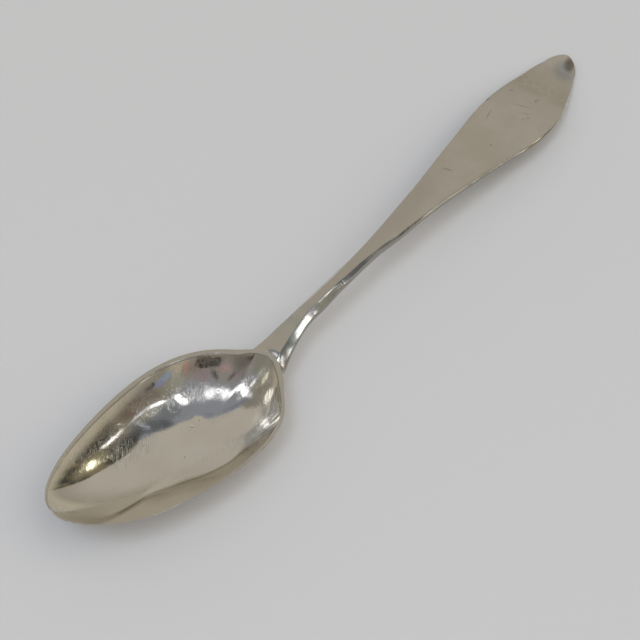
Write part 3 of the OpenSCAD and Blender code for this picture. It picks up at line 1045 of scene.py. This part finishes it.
# %% Things in the room
things = patch(walls, (-6, -56), (9, 9), 0, 6, (142, 140, 126))
things = patch(things, (-14, -67), (14, 6), -15, 4, (160, 150, 130))
things = patch(things, (-27, -38), (11, 6), 100, 5, (132, 115, 113))
things = patch(things, (-21, -58), (6, 4), 60, 2.5, (152, 112, 102))
things = patch(things, (-43, -19), (5, 3), 60, 2.5, (150, 125, 120))
things = patch(things, (2, -69), (8.5, 3), 0, 1.5, (120, 136, 155))
things = patch(things, (8, -68), (3, 2.5), 0, 1.5, (110, 114, 156))
things = patch(things, (15, -71), (4.5, 2.5), 10, 1.5, (74, 68, 62))
things = patch(things, (24, -68), (7, 1.6), -22, 1.5, (92, 78, 68))
things = patch(things, (-43, -33), (7, 4.5), -60, 1.5, (40, 40, 37), square=True)
things = patch(things, (-35.5, -47), (9, 5.5), -60, 1.0, (24, 25, 23), square=True)
things = patch(things, (-34, -24), (9, 2.2), 76, 2.0, (88, 80, 74))
things = patch(things, (20, -87.5), (46, 5), 0, 3, (62, 57, 50))
print("nodes after the things:", len(room.nodes))

# %% Lamps and windows
lights = patch(things, (51, -44), (5.5, 1.9), 60, 1.5, (255, 248, 215), 3.0)
lights = patch(lights, (39, -55.5), (3.4, 1.3), 0, 1.0, (255, 250, 238), 2.0)
lights = patch(lights, (0.5, -37), (9.5, 2.8), -73, 2.0, (255, 255, 250), 3.4)
lights = patch(lights, (17, -53), (6.5, 1.3), -27, 1.2, (255, 255, 255), 2.4)
lights = patch(lights, (27, -56.5), (4.5, 0.7), 8, 0.7, (235, 236, 240), 1.0)
lights = patch(lights, (27.5, -45), (9, 0.6), -78, 0.6, (170, 172, 178), 1.0)
lights = patch(lights, (-20, -12), (6.5, 4), 90, 4, (255, 255, 255), 1.4)
lights = patch(lights, (-25, 5), (12, 2.6), 90, 2, (255, 255, 255), 2.2)
lights = patch(lights, (-21.5, 28), (14, 2.2), 76, 1.6, (255, 255, 255), 2.2)
lights = patch(lights, (-17, 47), (8, 1.5), 78, 1.5, (230, 230, 232))
lights = patch(lights, (-28, 33), (5, 3), 70, 1.5, (240, 240, 238), 1.2)
lights = patch(lights, (-27, 62.5), (5, 4), 60, 2.5, (225, 219, 188))
lights = patch(lights, (-18, 76), (4.8, 3.2), 100, 2.0, (255, 250, 235), 1.2)
print("nodes after the lamps:", len(room.nodes))

# %% [markdown]
# Only the silver has to see the painted room. The table is lit by a plainer one: an even, pale
# sky with one broad warm glow at the right, half way up, which fills the shadows with a little
# brown light. The camera sees that plain sky too, past the edge of the table.

# %% Plain room for the table and the camera
EVEN_SKY = (0.53, 0.525, 0.515)
WARM_GLOW = (1.9, 1.7, 1.33)
ray = node(room, "ShaderNodeLightPath")
plain = math_node(room, "MAXIMUM", ray.outputs["Is Camera Ray"], ray.outputs["Is Diffuse Ray"])
glow_mask = patch_mask((24, -47), (44, 26), -63, 30)
table_light = mixed(room, glow_mask, EVEN_SKY, WARM_GLOW)
seen = mixed(room, plain, lights, table_light)
back = node(room, "ShaderNodeBackground", {"Color": seen, "Strength": 1.0})
node(room, "ShaderNodeOutputWorld", {"Surface": back.outputs[0]})
print("nodes of the room:", len(room.nodes))

# %% [markdown]
# Two large, soft lamps stand high on the near side and shape the shadow. They are cool, like
# daylight, because the glow is warm. The silver doesn't mirror them: their picture would lie
# over the room's own lamps.

# %% Two soft lamps
DAYLIGHT = (0.70, 0.82, 1.0)


def direction(az, el):
    """Direction from the spoon to a place at this heading and height, in degrees."""
    a, e = math.radians(az), math.radians(el)
    return Vector((math.cos(e) * math.cos(a), math.cos(e) * math.sin(a), math.sin(e)))


def soft_lamp(name, az, el, distance, size, watts):
    """A round lamp that faces the spoon and doesn't show in the silver."""
    data = bpy.data.lights.new(name, "AREA")
    data.shape = "DISK"
    data.size = size
    data.energy = watts
    data.color = DAYLIGHT
    lamp = bpy.data.objects.new(name, data)
    lamp.location = direction(az, el) * distance
    lamp.rotation_euler = direction(az, el).to_track_quat("Z", "Y").to_euler()
    bpy.context.scene.collection.objects.link(lamp)
    lamp.visible_glossy = False
    print("lamp", name, "of", watts, "W, wide", millimetres(size))


soft_lamp("overhead", az=-165, el=70, distance=1.0, size=0.32, watts=2.15)
soft_lamp("fill", az=-100, el=62, distance=1.0, size=0.80, watts=2.4)

# %% [markdown]
# ## The camera
#
# The view is that of someone sitting at the table: about 55 degrees down on the spoon, with the
# bowl near and the handle running away to the upper right.

# %% Camera
VIEW_AZ, VIEW_EL, VIEW_ROLL = -43.931, 55.011, -7.349
AIM = Vector((-10.537 * MM, -0.057 * MM, 0))
DISTANCE = 235.593 * MM
FOCAL_PX = 1300

az, el, roll = (math.radians(v) for v in (VIEW_AZ, VIEW_EL, VIEW_ROLL))
backward = Vector((math.cos(el) * math.sin(az), -math.cos(el) * math.cos(az), math.sin(el)))
level = Vector((math.cos(az), math.sin(az), 0))
upward = backward.cross(level)
right = math.cos(roll) * level + math.sin(roll) * upward
top = math.cos(roll) * upward - math.sin(roll) * level
data = bpy.data.cameras.new("photo_view")
data.sensor_width = 36.0
data.lens = FOCAL_PX / PX * data.sensor_width
data.clip_start = 0.01
camera = bpy.data.objects.new("photo_view", data)
camera.matrix_world = Matrix.LocRotScale(
    AIM + backward * DISTANCE, Matrix((right, top, backward)).transposed(), None
)
bpy.context.scene.collection.objects.link(camera)
bpy.context.scene.camera = camera
bpy.context.scene.view_settings.view_transform = "Standard"
print("camera", [round(v, 4) for v in camera.location], "lens", round(data.lens, 2))
